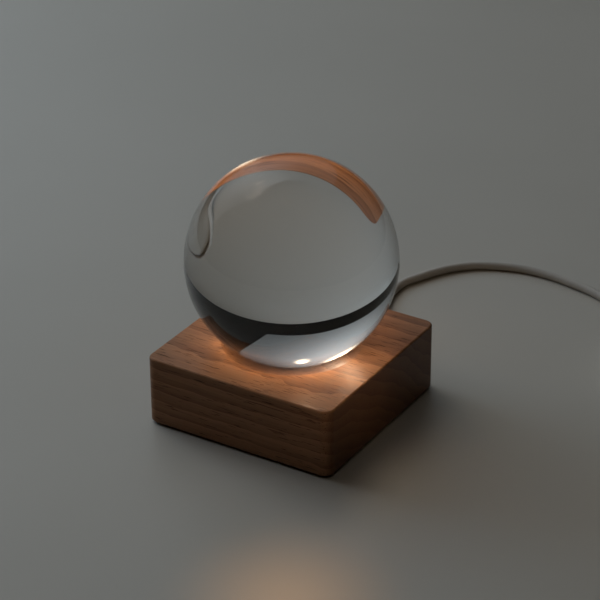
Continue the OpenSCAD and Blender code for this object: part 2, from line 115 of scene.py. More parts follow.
# %% [markdown]
# ## The lead
# The lead is a round 3.5 mm cable about a metre long. It leaves the back of the block
# through a strain relief, drops to the table, runs to a push switch, and its spare length
# is wound into a small tied coil that ends in a plug. A bevelled curve would make a quick
# cable, but here one smooth line is worked out through the route's points first, and a
# circle is carried along it to give the shape. The points
# are those of the CAD route. The coil is worked out turn by turn, since real turns lie
# exactly one diameter from each other.

# %% Where the lead goes
LEAD_D = 3.5 * MM
LEAD_R = LEAD_D / 2
STRAIGHT = 4 * MM
relief_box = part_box("cable_grommet")
EXIT = Vector((0, relief_box[1].y, (relief_box[0].z + relief_box[1].z) / 2))

SWITCH_TURN = math.radians(-64)
switch_low, switch_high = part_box("switch_lead_ends")
SWITCH_AXIS = 4.2 * MM
SWITCH_AT = Vector(((switch_low.x + switch_high.x) / 2, (switch_low.y + switch_high.y) / 2, SWITCH_AXIS))
SWITCH_WAY = Vector((math.cos(SWITCH_TURN), math.sin(SWITCH_TURN), 0))
SWITCH_REACH = 22 * MM

coil_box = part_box("cord_coil")
COIL_AT = (coil_box[0] + coil_box[1]) / 2
grip_low, grip_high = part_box("plug_overmould")
PLUG_AT = Vector(((grip_low.x + grip_high.x) / 2, grip_low.y, (grip_low.z + grip_high.z) / 2))

RUN_POINTS = [
    (-1, 12, 4.6), (-3.5, 19, 2.4), (-6.5, 26, 0.8), (-9, 34, 0), (-10.5, 42, 0),
    (-10, 49.5, 0), (-7.5, 55.5, 0), (-3.5, 64, 0), (2, 72, 0), (9, 78.5, 0),
    (17, 82.5, 0), (25, 85, 0), (34, 86, 0), (43, 85.5, 0), (52, 84, 0), (60.5, 82, 0),
    (69, 78.5, 0), (77, 73.5, 0), (83.5, 67, 0.4), (87.5, 60.5, 1.6),
]
COIL_POINTS = [(114.5, 6.5, 1.4)]
PLUG_POINTS = [(162, 18, 3.2), (159.6, 25, 2.2)]


def from_exit(points):
    """Route points given from the exit, with the height of the lead's underside."""
    return [Vector((x * MM, EXIT.y + y * MM, z * MM + LEAD_R)) for x, y, z in points]


def on_switch(along):
    """Point on the lead's axis through the switch, at a distance from the switch's middle."""
    return SWITCH_AT + along * SWITCH_WAY


run_route = [EXIT, EXIT + Vector((0, STRAIGHT, 0)), *from_exit(RUN_POINTS),
             on_switch(-SWITCH_REACH - STRAIGHT), on_switch(-SWITCH_REACH)]

# %% The coil's turns
COIL_TURNS = 5 + 154 / 360
COIL_START = math.radians(-154)
STEPS_PER_TURN = 24
OUTER_TURN_R = 23.5 * MM
GO_IN, GO_UP, GO_OUT = (0.84, 1.84), 2.68, (3.52, 4.52)
CHANGE_TURNS = 0.16


def coil_turns():
    """Centreline of the coil: nearly three turns inwards in the lower layer and as many outwards
    in the upper one. The radius and the height stay put for most of a turn and change by one diameter
    over a short stretch, with the smooth step 3s^2 - 2s^3, as on a coil wound by hand."""
    turn = np.linspace(0, COIL_TURNS, round(COIL_TURNS * STEPS_PER_TURN) + 1)

    def change(start):
        s = np.clip((turn - start) / CHANGE_TURNS, 0, 1)
        return s * s * (3 - 2 * s)

    inwards = change(GO_IN[0]) + change(GO_IN[1])
    outwards = change(GO_OUT[0]) + change(GO_OUT[1])
    radius = OUTER_TURN_R + LEAD_D * (outwards - inwards)
    height = coil_box[0].z + LEAD_R + LEAD_D * change(GO_UP)
    angle = COIL_START + 2 * np.pi * turn
    points = np.stack([COIL_AT.x + radius * np.cos(angle), COIL_AT.y + radius * np.sin(angle), height], -1)
    return [Vector(p) for p in points]


plug_start = PLUG_AT - Vector((0, STRAIGHT, 0))
spare_route = [on_switch(SWITCH_REACH), on_switch(SWITCH_REACH + STRAIGHT), *from_exit(COIL_POINTS),
               *coil_turns(), *from_exit(PLUG_POINTS), plug_start, PLUG_AT]
print("route points:", len(run_route), "and", len(spare_route))

# %% A smooth line through the points
LINE_STEP = 1.2 * MM


def smooth_line(route):
    """Cubic curve through the points. At each point it heads along the mean of the two chords
    there, weighted so that the shorter one counts more."""
    points = np.array([tuple(point) for point in route])
    chords = np.diff(points, axis=0)
    span = np.linalg.norm(chords, axis=1, keepdims=True)
    heading = chords / span
    inner = (heading[:-1] * span[1:] + heading[1:] * span[:-1]) / (span[1:] + span[:-1])
    heading = np.vstack([heading[:1], inner, heading[-1:]])
    count = np.ceil(span[:, 0] / LINE_STEP).astype(int)
    part = np.repeat(np.arange(len(count)), count)
    s = ((np.arange(len(part)) - np.repeat(np.cumsum(count) - count, count)) / count[part])[:, None]
    start_pull, end_pull = heading[part] * span[part], heading[part + 1] * span[part]
    line = (
        (2 * s**3 - 3 * s**2 + 1) * points[part] + (s**3 - 2 * s**2 + s) * start_pull
        + (3 * s**2 - 2 * s**3) * points[part + 1] + (s**3 - s**2) * end_pull
    )
    return np.vstack([line, points[-1:]])


run_line, spare_line = smooth_line(run_route), smooth_line(spare_route)

# %% [markdown]
# ## Surfaces from rings of points
# Every moulded or turned piece below is a row of rings: closed lines of points that a
# formula gives, joined to each other point by point. A turned piece is a profile carried
# round an axis, and a moulded one is an outline that changes along a line. Working them
# out as whole arrays keeps the code short and the surface exactly as fine as is asked for.

# %% From rings to a mesh
CRISP_BEND = 40
TINY, SAME_POINT = 1e-12, 1e-7


def skin(rings, loop=False):
    """Surface through rings of points, joined point by point to the next ring. With loop the
    last ring joins the first. Without it, a fan of triangles closes each end at its middle.
    If the volume inside comes out negative, the faces point inwards and are turned round."""
    rings = np.asarray(rings, float)
    count = rings.shape[1]
    index = np.arange(rings.shape[0] * count).reshape(-1, count)
    low, high = (index, np.roll(index, -1, 0)) if loop else (index[:-1], index[1:])
    quads = np.stack([low, np.roll(low, -1, 1), np.roll(high, -1, 1), high], -1).reshape(-1, 4)
    points = rings.reshape(-1, 3)
    fans = np.empty((0, 3), int)
    if not loop:
        middles = np.stack([rings[0].mean(0), rings[-1].mean(0)])
        first, last, top = index[0], index[-1], len(points)
        points = np.vstack([points, middles])
        fans = np.vstack([
            np.stack([np.roll(first, -1), first, np.full(count, top)], -1),
            np.stack([last, np.roll(last, -1), np.full(count, top + 1)], -1),
        ])
    triangles = np.vstack([quads[:, :3], quads[:, [0, 2, 3]], fans])
    a, b, c = (points[triangles[:, k]] for k in range(3))
    if np.einsum("ij,ij->", a - points.mean(0), np.cross(b - points.mean(0), c - points.mean(0))) < 0:
        quads, fans = quads[:, ::-1], fans[:, ::-1]
    return points, quads, fans


def make_piece(name, surfaces, body, slot, replaced=(), sharp=CRISP_BEND):
    """One mesh object from several surfaces. Edges that bend more than sharp degrees stay crisp."""
    vertices, faces, offset = [], [], 0
    for points, quads, fans in surfaces:
        vertices.append(points)
        faces += (quads + offset).tolist() + (fans + offset).tolist()
        offset += len(points)
    mesh = bpy.data.meshes.new(name)
    mesh.from_pydata(np.vstack(vertices).tolist(), [], faces)
    mesh.validate()
    mesh.shade_smooth()
    mesh.set_sharp_from_angle(angle=math.radians(sharp))
    piece = bpy.data.objects.new(name, mesh)
    scene.collection.objects.link(piece)
    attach(piece, body)
    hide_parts(*replaced)
    print(f"{name}: {len(mesh.polygons)} faces")
    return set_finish(piece, slot)


def placed(surface, matrix):
    """The surface turned and moved by the matrix: each point becomes R p + t."""
    points, quads, fans = surface
    moved = points @ np.array(matrix.to_3x3()).T + np.array(matrix.translation)
    return moved, quads, fans


# %% Tube along a line


def tube(line, radius, sides=20):
    """Circle of one radius carried along the line. Its sideways direction is level, so it never
    twists, and the other is square to both."""
    ahead = np.gradient(line, axis=0)
    ahead /= np.linalg.norm(ahead, axis=1, keepdims=True)
    level = np.cross(ahead, [0, 0, 1])
    level /= np.linalg.norm(level, axis=1, keepdims=True)
    upwards = np.cross(level, ahead)
    turn = np.linspace(0, 2 * np.pi, sides, endpoint=False)[None, :, None]
    ring = np.cos(turn) * level[:, None] + np.sin(turn) * upwards[:, None]
    return skin(line[:, None] + radius * ring)


block_lead = make_piece("lead_from_block", [tube(run_line, LEAD_R)], "base", "lead_sheath", ["lead_run"])
spare_lead = make_piece(
    "lead_coil_and_tail", [tube(spare_line, LEAD_R)],
    "base", "lead_sheath", ["lead_to_coil", "cord_coil", "lead_to_plug"],
)

# %% Profiles and outlines


def soften(corners, steps=5, closed=True):
    """Line through corners given as (x, y, size): each corner is cut at its size along both
    sides and bridged by the curve (1-s)^2 a + 2s(1-s) corner + s^2 b. An open line keeps its
    two end points."""
    corners = np.asarray(corners, float)
    spots, sizes = corners[:, :2], corners[:, 2:]

    def cut_towards(neighbours):
        side = neighbours - spots
        return spots + sizes * (side / np.maximum(np.linalg.norm(side, axis=1, keepdims=True), TINY))

    s = np.linspace(0, 1, steps)[:, None, None]
    start, end = cut_towards(np.roll(spots, 1, 0)), cut_towards(np.roll(spots, -1, 0))
    line = ((1 - s) ** 2 * start + 2 * s * (1 - s) * spots + s * s * end).transpose(1, 0, 2)
    if not closed:
        line[0], line[-1] = spots[0], spots[-1]
    line = line.reshape(-1, 2)
    apart = np.linalg.norm(line - np.roll(line, 1, 0), axis=1) > SAME_POINT
    return line[apart]


def turned(profile, count=72, loop=False):
    """Profile of (radius, height) points carried round the Z axis."""
    angle = np.linspace(0, 2 * np.pi, count, endpoint=False)
    around = np.stack([np.cos(angle), np.sin(angle)], -1)
    profile = np.asarray(profile, float)
    flat = profile[:, None, :1] * around
    height = np.broadcast_to(profile[:, None, 1:], flat.shape[:2] + (1,))
    return skin(np.concatenate([flat, height], -1), loop)


def outline(half_x, half_y, corner, count):
    """Rectangle with round corners as count points, evenly spaced along it from the middle of
    its +X side."""
    quarter = np.linspace(0, np.pi / 2, 25)
    arcs = [
        np.stack([
            sx * (half_x - corner) + corner * np.cos(quarter + turn),
            sy * (half_y - corner) + corner * np.sin(quarter + turn),
        ], -1)
        for sx, sy, turn in [(1, 1, 0), (-1, 1, np.pi / 2), (-1, -1, np.pi), (1, -1, 3 * np.pi / 2)]
    ]
    line = np.vstack([[[half_x, 0]], *arcs, [[half_x, 0]]])
    run = np.concatenate([[0], np.cumsum(np.linalg.norm(np.diff(line, axis=0), axis=1))])
    at = np.linspace(0, run[-1], count, endpoint=False)
    return np.stack([np.interp(at, run, line[:, 0]), np.interp(at, run, line[:, 1])], -1)


def circle(radius, count):
    angle = np.linspace(0, 2 * np.pi, count, endpoint=False)
    return radius * np.stack([np.cos(angle), np.sin(angle)], -1)


def at_height(flat, height):
    return np.column_stack([flat, np.full(len(flat), height)])


# %% [markdown]
# ## The glass ball
# A real one is ground and polished until it is round within a hair, so its surface has to be
# fine: light bends at every facet. An icosphere would spread its facets evenly, but rings
# from a turned half circle line up with the round dish. Their two poles do no harm: one
# rests in the dish, and the other is seen only from straight above.

# %% Ball
ball_low, ball_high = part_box("crystal_ball")
BALL_R = (ball_high.z - ball_low.z) / 2
BALL_Z = (ball_high.z + ball_low.z) / 2
BALL_RINGS, BALL_SIDES = 160, 320
latitude = np.linspace(-np.pi / 2, np.pi / 2, BALL_RINGS + 2)[1:-1]
ball_profile = np.stack([BALL_R * np.cos(latitude), BALL_Z + BALL_R * np.sin(latitude)], -1)
make_piece("glass_ball", [turned(ball_profile, BALL_SIDES)], "ball", "clear_glass", ["crystal_ball"])

# %% [markdown]
# ## Strain relief and feet
# The relief is a soft moulding: a bush in the wood, a flange against it, and a taper with
# grooves that lets the lead bend little by little. The grooves are a row of smooth dips
# taken from the taper. The feet are turned discs whose lower edge is well rounded.

# %% Strain relief
BUSH_R, FLANGE_R, FLANGE_T = 3.35 * MM, 4.65 * MM, 1.5 * MM
RELIEF_R = (3.25 * MM, 2.35 * MM)
GROOVES, GROOVE_DEPTH, GROOVE_THINS, GROOVE_FADE = 6, 0.42 * MM, 0.4, 12
block_low, block_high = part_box("base_block")
back_y, bush_y, relief_end = block_high.y, relief_box[0].y, relief_box[1].y
lead_hole = LEAD_R + 0.05 * MM


def relief_taper(steps=97):
    """The taper's radius falls evenly along it, less a groove wherever the sixth power of a
    sine wave is high. The grooves get shallower along the taper and fade out at its end."""
    share = np.linspace(0, 1, steps)
    groove = np.sin(np.pi * GROOVES * share) ** 6 * np.clip((1 - share) * GROOVE_FADE, 0, 1)
    depth = GROOVE_DEPTH * (1 - GROOVE_THINS * share)
    radius = RELIEF_R[0] + (RELIEF_R[1] - RELIEF_R[0]) * share - depth * groove
    start = back_y + FLANGE_T
    return np.stack([radius, start + (relief_end - start) * share], -1)


flange = soften([
    (lead_hole, bush_y, 0.1 * MM), (BUSH_R, bush_y, 0.3 * MM), (BUSH_R, back_y, 0.02 * MM),
    (FLANGE_R, back_y, 0.1 * MM), (FLANGE_R, back_y + FLANGE_T, 0.6 * MM),
    (RELIEF_R[0], back_y + FLANGE_T, 0.02 * MM),
])
relief_profile = np.vstack([flange, relief_taper(), [[lead_hole, relief_end]]])
along_lead = Matrix.Translation((0, 0, EXIT.z)) @ Matrix.Rotation(-math.pi / 2, 4, "X")
strain_relief = make_piece(
    "strain_relief", [placed(turned(relief_profile, 64, loop=True), along_lead)],
    "base", "grommet_rubber", ["cable_grommet"], sharp=50,
)

# %% Feet
feet_low, feet_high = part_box("rubber_feet")
FOOT_R = 4 * MM
FOOT_MIDDLE = 0.2 * MM
foot_profile = soften([
    (FOOT_MIDDLE, feet_low.z, 0), (FOOT_R, feet_low.z, 0.7 * MM), (FOOT_R, feet_high.z, 0.15 * MM),
    (FOOT_MIDDLE, feet_high.z, 0),
], steps=8, closed=False)
foot = turned(foot_profile, 48)
foot_centre = feet_high.x - FOOT_R
foot_places = [(x, y, 0) for x in (-foot_centre, foot_centre) for y in (-foot_centre, foot_centre)]
make_piece(
    "round_feet", [placed(foot, Matrix.Translation(place)) for place in foot_places],
    "base", "foot_rubber", ["rubber_feet"],
)

# %% [markdown]
# ## The switch
# Two moulded half shells close round the lead, and a round button comes through the upper
# one. Each half is one closed wall: its rings start at the outer parting edge, go up the
# side, over the rounded edge, in to the hole, and back along the inside. A collar at each
# end, turned about the lead and cut in half by the parting plane, grips the lead.

# %% Switch housing, upper half
SWITCH_HALF, SWITCH_SIDE, SWITCH_TOP = 17 * MM, 7.5 * MM, 10.4 * MM
SHELL_CORNER, SHELL_WALL, EDGE = 3 * MM, 1.4 * MM, 1.1 * MM
PARTING = SWITCH_AT.z
PARTING_CHAMFER = 0.18 * MM
BUTTON_HOLE_R = 3.65 * MM
HOLE_LIP = 0.2 * MM
COLLAR_R = (3.3 * MM, 2.63 * MM, 2.25 * MM)
COLLAR_LAP, COLLAR_RIM = 0.6 * MM, 0.4 * MM
SHELL_POINTS = 168
switch_place = Matrix.Translation((SWITCH_AT.x, SWITCH_AT.y, 0)) @ Matrix.Rotation(SWITCH_TURN, 4, "Z")


def shell_rings(top, hole, up):
    """Rings of one half shell as (inset from the outer wall, height) steps, then in over the
    flat face to the hole, and back along the inside. Every inset shrinks the outline evenly.
    The upper half has up = 1 and the lower one up = -1."""
    bend = np.linspace(0, np.pi / 2, 7)
    outside = [(PARTING_CHAMFER, PARTING), (0, PARTING + up * PARTING_CHAMFER)]
    outside += [(EDGE * (1 - math.cos(b)), top - up * EDGE * (1 - math.sin(b))) for b in bend]

    def ring(inset, height):
        flat = outline(SWITCH_HALF - inset, SWITCH_SIDE - inset, SHELL_CORNER - inset, SHELL_POINTS)
        return at_height(flat, height)

    inside = top - up * SHELL_WALL
    mouth = [(hole + HOLE_LIP, top), (hole, top - up * HOLE_LIP), (hole, inside)]
    rings = [ring(*step) for step in outside]
    rings += [at_height(circle(radius, SHELL_POINTS), height) for radius, height in mouth]
    return [*rings, ring(SHELL_WALL, inside), ring(SHELL_WALL, PARTING)]


def collar(side, up):
    """Half of a hollow cone on the lead: its section of (x, radius) points turns through half a
    circle above or below the parting plane."""
    start, end = SWITCH_HALF - COLLAR_LAP, SWITCH_REACH
    x = side * np.array([start, end - COLLAR_RIM, end, end, start])
    radius = np.array([*COLLAR_R, lead_hole, lead_hole])
    angle = up * np.linspace(0, np.pi, 33)[:, None]
    flat = radius * np.cos(angle)
    return skin(np.stack([np.broadcast_to(x, flat.shape), flat, PARTING + radius * np.sin(angle)], -1))


def half_shell(top, hole, up):
    """Wall of one half, and its two collars."""
    return [skin(shell_rings(top, hole, up), loop=True), collar(1, up), collar(-1, up)]


upper_shell = half_shell(SWITCH_TOP, BUTTON_HOLE_R, 1)
switch_top = make_piece(
    "switch_housing_top", [placed(part, switch_place) for part in upper_shell],
    "base", "switch_plastic", ["switch_upper_shell"],
)

# %% Lower half, with a plain floor
FLOOR_HOLE_R = 1 * MM
SEAT_IN, SEAT_OUT, SEAT_LOW, SEAT_HIGH, SEAT_EDGE = 0.8 * MM, 3 * MM, 1.3 * MM, 2.2 * MM, 0.1 * MM
lower_shell = half_shell(0, FLOOR_HOLE_R, -1)
spring_seat = turned(soften([
    (SEAT_IN, SEAT_LOW, 0), (SEAT_OUT, SEAT_LOW, 0),
    (SEAT_OUT, SEAT_HIGH, SEAT_EDGE), (SEAT_IN, SEAT_HIGH, SEAT_EDGE),
]), 48, loop=True)
switch_bottom = make_piece(
    "switch_housing_bottom", [placed(part, switch_place) for part in [*lower_shell, spring_seat]],
    "base", "switch_plastic", ["switch_lower_shell"],
)

# %% [markdown]
# The button is a turned cap with a shallow hollow for the fingertip and two fine rings, on
# a flange that stops it under the shell, and a stem that presses the contact strip.

# %% Button
BUTTON_R, BUTTON_FLANGE_R, STEM_R = 3.5 * MM, 4.5 * MM, 1.2 * MM
button_low, button_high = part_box("switch_button")
FLANGE_Z = (8.05 * MM, 8.95 * MM)
CAP_MIDDLE, CAP_EDGE = 0.05 * MM, BUTTON_R - 0.55 * MM
BOWL_DEPTH, BOWL_R = 0.35 * MM, BUTTON_R - 0.5 * MM
RING_GROOVES, GROOVE_SIZE = (2.3 * MM, 2.75 * MM), 0.09 * MM


def button_cap(steps=60):
    """Top of the button from its edge to its middle: level, less a shallow bowl that follows
    1 - (r/R)^2, and two shallow ring grooves, each a bell curve."""
    r = np.linspace(CAP_EDGE, CAP_MIDDLE, steps)
    bowl = BOWL_DEPTH * (1 - (r / BOWL_R) ** 2)
    grooves = sum(GROOVE_SIZE * np.exp(-(((r - at) / GROOVE_SIZE) ** 2)) for at in RING_GROOVES)
    return np.stack([r, button_high.z - bowl - grooves], -1)


button_side = soften([
    (CAP_MIDDLE, button_low.z, 0), (STEM_R, button_low.z, 0.1 * MM), (STEM_R, FLANGE_Z[0], 0.05 * MM),
    (BUTTON_FLANGE_R, FLANGE_Z[0], 0.15 * MM), (BUTTON_FLANGE_R, FLANGE_Z[1], 0.15 * MM),
    (BUTTON_R, FLANGE_Z[1], 0.05 * MM), (BUTTON_R, button_high.z, 0.5 * MM),
    (BUTTON_R - 0.52 * MM, button_high.z, 0),
], closed=False)
push_button = make_piece(
    "push_button", [placed(turned(np.vstack([button_side, button_cap()]), 72), switch_place)],
    "button", "button_plastic", ["switch_button"],
)

# %% [markdown]
# The spring is a round wire on a helix. Its end turns lie flat, as a ground spring's do, so
# the pitch is small at both ends. It shortens with the button in the real switch, and here it
# gets a mesh of its own.

# %% Spring
spring_low, spring_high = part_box("switch_spring")
SPRING_R, WIRE_R, SPRING_TURNS = 2 * MM, 0.2 * MM, 4


def helix_tube(steps=192, sides=10):
    """Circle of radius WIRE_R carried along a helix. The height follows s - sin(2 pi s) / (2 pi),
    which is level at both ends."""
    s = np.linspace(0, 1, steps)
    rise = spring_high.z - spring_low.z - 2 * WIRE_R
    angle = 2 * np.pi * SPRING_TURNS * s
    height = spring_low.z + WIRE_R + rise * (s - np.sin(2 * np.pi * s) / (2 * np.pi))
    away = np.stack([np.cos(angle), np.sin(angle), 0 * s], -1)
    centre = SPRING_R * away + np.stack([0 * s, 0 * s, height], -1)
    around = np.linspace(0, 2 * np.pi, sides, endpoint=False)[None, :, None]
    upwards = np.array([0, 0, 1])
    ring = np.cos(around) * away[:, None] + np.sin(around) * upwards
    return skin(centre[:, None] + WIRE_R * ring)


return_spring = make_piece(
    "return_spring", [placed(helix_tube(), switch_place)], "base", "spring_steel", ["switch_spring"],
)
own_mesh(return_spring)

# %% [markdown]
# ## The plug and the coil's tie
# The plug's grip is moulded over the shell. Its section is a rectangle with round corners
# that grows out of the round relief, narrows a little where fingers hold it, and has a row
# of raised ribs on its sides. The tie is a flat strap laid round the bundle of turns.

# %% Plug grip
GRIP_HALF = (grip_high.x - grip_low.x) / 2, (grip_high.z - grip_low.z) / 2
GRIP_START, GRIP_END = 10 * MM, grip_high.y - grip_low.y
GRIP_CORNER, BACK_ROUND, FRONT_ROUND = 2.4 * MM, 1.3 * MM, 0.7 * MM
TAIL_R, TAIL_GAP = (LEAD_R + 0.5 * MM, LEAD_R + 1.4 * MM), 0.6 * MM
TAIL_GROOVES, TAIL_GROOVE_DEPTH = 5, 0.32 * MM
WAIST_DEPTH, WAIST_AT, WAIST_LENGTH = 0.55 * MM, 0.42, 0.22
RIB_DEPTH, RIBS_FROM, RIBS_TO, RIB_PITCH = 0.22 * MM, 0.2, 0.64, 0.055


def grip_rings(count=120):
    """Sections along the plug: a circle that grows along the tail, with grooves, then a
    rectangle with round corners. The waist is a smooth dip and the ribs a sine wave."""
    rings = []

    def section(along, side_inset, flat_inset, corner):
        flat = outline(GRIP_HALF[0] - side_inset, GRIP_HALF[1] - flat_inset, corner, count)
        rings.append(at_height(flat, along))

    for share in np.linspace(0, 1, 49):
        groove = TAIL_GROOVE_DEPTH * math.sin(TAIL_GROOVES * math.pi * share) ** 6
        radius = TAIL_R[0] + (TAIL_R[1] - TAIL_R[0]) * share - groove
        rings.append(at_height(circle(radius, count), share * (GRIP_START - TAIL_GAP)))
    for bend in np.linspace(0.12, 1, 9) * np.pi / 2:
        inset = BACK_ROUND * (1 - math.sin(bend))
        section(GRIP_START + BACK_ROUND * (1 - math.cos(bend)), inset, inset, GRIP_CORNER - inset / 2)
    body = np.linspace(GRIP_START + 1.8 * MM, GRIP_END - 1 * MM, 110)
    for along in body:
        share = (along - body[0]) / (body[-1] - body[0])
        waist = WAIST_DEPTH * math.exp(-(((share - WAIST_AT) / WAIST_LENGTH) ** 2))
        rib = RIB_DEPTH * math.sin(2 * math.pi * (share - RIBS_FROM) / RIB_PITCH) ** 2
        ribbed = RIBS_FROM < share < RIBS_TO
        section(along, waist + ribbed * rib, 0.5 * waist, GRIP_CORNER)
    for bend in np.linspace(0, 1, 6) * np.pi / 2:
        inset = FRONT_ROUND * (1 - math.cos(bend))
        section(GRIP_END - FRONT_ROUND * (1 - math.sin(bend)), inset, inset, GRIP_CORNER - inset / 2)
    return rings


along_plug = Matrix.Translation(PLUG_AT) @ Matrix.Rotation(-math.pi / 2, 4, "X")
plug_grip = make_piece(
    "plug_grip", [placed(skin(grip_rings()), along_plug)], "base", "plug_plastic", ["plug_overmould"],
)

# %% Tie round the coil
TIE_TURN = math.radians(100)
TIE_HALF_W, TIE_T = 2.5 * MM, 0.8 * MM
TIE_SLACK, TIE_CORNER = 0.25 * MM, 1.6 * MM
tie_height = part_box("coil_tie")[1].z
bundle_in, bundle_out = OUTER_TURN_R - 2 * LEAD_D - LEAD_R, OUTER_TURN_R + LEAD_R
bundle_middle = (bundle_in + bundle_out) / 2


def strap_rings(steps=120):
    """Strap round the bundle: a rounded rectangle in the plane across the turns, and at each of
    its points a flat section with rounded edges, square to it."""
    half = (bundle_out - bundle_in) / 2 + TIE_T / 2 + TIE_SLACK, tie_height / 2 - TIE_T / 2
    path = outline(*half, TIE_CORNER, steps)
    ahead = np.roll(path, -1, 0) - np.roll(path, 1, 0)
    outwards = np.stack([ahead[:, 1], -ahead[:, 0]], -1) / np.linalg.norm(ahead, axis=1, keepdims=True)
    section = outline(TIE_HALF_W, TIE_T / 2, TIE_T / 2.2, 40)
    centre = np.array([bundle_middle, tie_height / 2])
    flat = centre + path[:, None] + section[None, :, 1:] * outwards[:, None]
    across = np.broadcast_to(section[None, :, :1], flat.shape[:2] + (1,))
    return np.concatenate([flat[..., :1], across, flat[..., 1:]], -1)


BUCKLE_HALF_X, BUCKLE_HALF_Y, BUCKLE_CORNER = 2.6 * MM, 2.9 * MM, 0.9 * MM
BUCKLE_STEPS = [(0.3, -0.6), (0, -0.4), (0, 0.25), (0.3, 0.4)]


def buckle_ring(inset, above):
    """Outline of the buckle, drawn in by inset, at a height above the bundle's top."""
    flat = outline(BUCKLE_HALF_X - inset, BUCKLE_HALF_Y - inset, BUCKLE_CORNER, 64)
    return at_height(flat + [bundle_middle, 0], tie_height + above)


buckle = skin([buckle_ring(inset * MM, above * MM) for inset, above in BUCKLE_STEPS])
tie_place = Matrix.Translation((COIL_AT.x, COIL_AT.y, 0)) @ Matrix.Rotation(TIE_TURN, 4, "Z")
strap = make_piece(
    "coil_strap", [placed(skin(strap_rings(), loop=True), tie_place), placed(buckle, tie_place)],
    "base", "tie_black", ["coil_tie"],
)

# %% [markdown]

# %% [markdown]
# ## Materials
# Each material is a small network of nodes that varies over the surface. What several of
# them share is a node group, built once: an uneven tone for any moulded or metal surface,
# fine wear scratches, settled dust, and the grain of the wood.

# %% Node helpers


def feed(tree, socket, value):
    """Link a socket to another one, or give it a value of its own."""
    if isinstance(value, bpy.types.NodeSocket):
        tree.links.new(value, socket)
    else:
        socket.default_value = value


def add(tree, kind, inputs=None, **settings):
    """New node with its settings, and what each of its inputs gets."""
    node = tree.nodes.new(f"ShaderNode{kind}")
    for key, value in settings.items():
        setattr(node, key, value)
    for key, value in (inputs or {}).items():
        feed(tree, node.inputs[key], value)
    return node


def node_group(name, inputs, outputs):
    """Empty shader node group with named sockets. Returns it with its inner sockets by name: what
    it is given, and what it gives."""
    group = bpy.data.node_groups.new(name, "ShaderNodeTree")
    for side, sockets in (("INPUT", inputs), ("OUTPUT", outputs)):
        for label, kind, *value in sockets:
            socket = group.interface.new_socket(label, in_out=side, socket_type=f"NodeSocket{kind}")
            if value:
                socket.default_value = value[0]
    return group, group.nodes.new("NodeGroupInput").outputs, group.nodes.new("NodeGroupOutput").inputs


def noise(tree, vector, scale, detail=3.0, rough=0.5, distort=0.0):
    inputs = {"Vector": vector, "Scale": scale, "Detail": detail, "Roughness": rough, "Distortion": distort}
    return add(tree, "TexNoise", inputs).outputs["Fac"]


def spread(tree, value, low, high, to_low=0.0, to_high=1.0):
    """Value between low and high, moved evenly to between to_low and to_high."""
    inputs = {"Value": value, "From Min": low, "From Max": high, "To Min": to_low, "To Max": to_high}
    return add(tree, "MapRange", inputs).outputs["Result"]


def blend_colour(tree, factor, first, second):
    """Mix of two colours. Each may be a colour or a socket, and so may the factor."""
    mix = add(tree, "Mix", data_type="RGBA")
    for number, value in ((0, factor), (6, first), (7, second)):
        feed(tree, mix.inputs[number], value)
    return mix.outputs[2]


def maths(tree, operation, first, second=0.0):
    return add(tree, "Math", {0: first, 1: second}, operation=operation).outputs[0]


def times(tree, first, second):
    return maths(tree, "MULTIPLY", first, second)


def plus(tree, first, second):
    return maths(tree, "ADD", first, second)


# %% Shared effects
CLOUD_SHARE, SPECK_SHARE = 0.7, 0.3


def build_tone():
    """Uneven tone: broad clouds and fine specks move the colour, roughness and height a little."""
    group, given, gives = node_group(
        "uneven tone",
        [("Vector", "Vector"), ("Cloud scale", "Float", 60.0), ("Speck scale", "Float", 900.0),
         ("Light", "Color"), ("Dark", "Color"), ("Smooth", "Float", 0.3), ("Rough", "Float", 0.5)],
        [("Colour", "Color"), ("Roughness", "Float"), ("Height", "Float")],
    )
    clouds = noise(group, given["Vector"], given["Cloud scale"])
    specks = noise(group, given["Vector"], given["Speck scale"], 2.0)
    tone = plus(group, times(group, clouds, CLOUD_SHARE), times(group, specks, SPECK_SHARE))
    share = spread(group, tone, 0.35, 0.65)
    feed(group, gives["Colour"], blend_colour(group, share, given["Dark"], given["Light"]))
    feed(group, gives["Roughness"], spread(group, share, 0.0, 1.0, given["Rough"], given["Smooth"]))
    feed(group, gives["Height"], specks)
    return group


def build_scratches():
    """Fine scratches: noise stretched along one slanting direction, kept only near its top."""
    group, given, gives = node_group(
        "fine scratches", [("Vector", "Vector"), ("Scale", "Float", 400.0)], [("Mask", "Float")],
    )
    stretch, slant = (0.03, 1.0, 1.0), (0.3, 0.2, 0.9)
    stretched = add(group, "Mapping", {"Vector": given["Vector"], "Scale": stretch, "Rotation": slant})
    lines = noise(group, stretched.outputs["Vector"], given["Scale"], 1.0)
    feed(group, gives["Mask"], spread(group, lines, 0.62, 0.72))
    return group


def build_dust():
    """Settled dust: faces that look up gather a thin patchy layer."""
    group, given, gives = node_group(
        "settled dust", [("Vector", "Vector"), ("Amount", "Float", 0.1)], [("Mask", "Float")],
    )
    facing = add(group, "TexCoord").outputs["Normal"]
    upwards = add(group, "SeparateXYZ", {"Vector": facing}).outputs["Z"]
    patches = spread(group, noise(group, given["Vector"], 350.0, 5.0, 0.7), 0.5, 0.75)
    settled = times(group, spread(group, upwards, 0.2, 1.0), patches)
    feed(group, gives["Mask"], times(group, settled, given["Amount"]))
    return group


tone_group, scratch_group, dust_group = build_tone(), build_scratches(), build_dust()
print("shared effects:", [group.name for group in (tone_group, scratch_group, dust_group)])

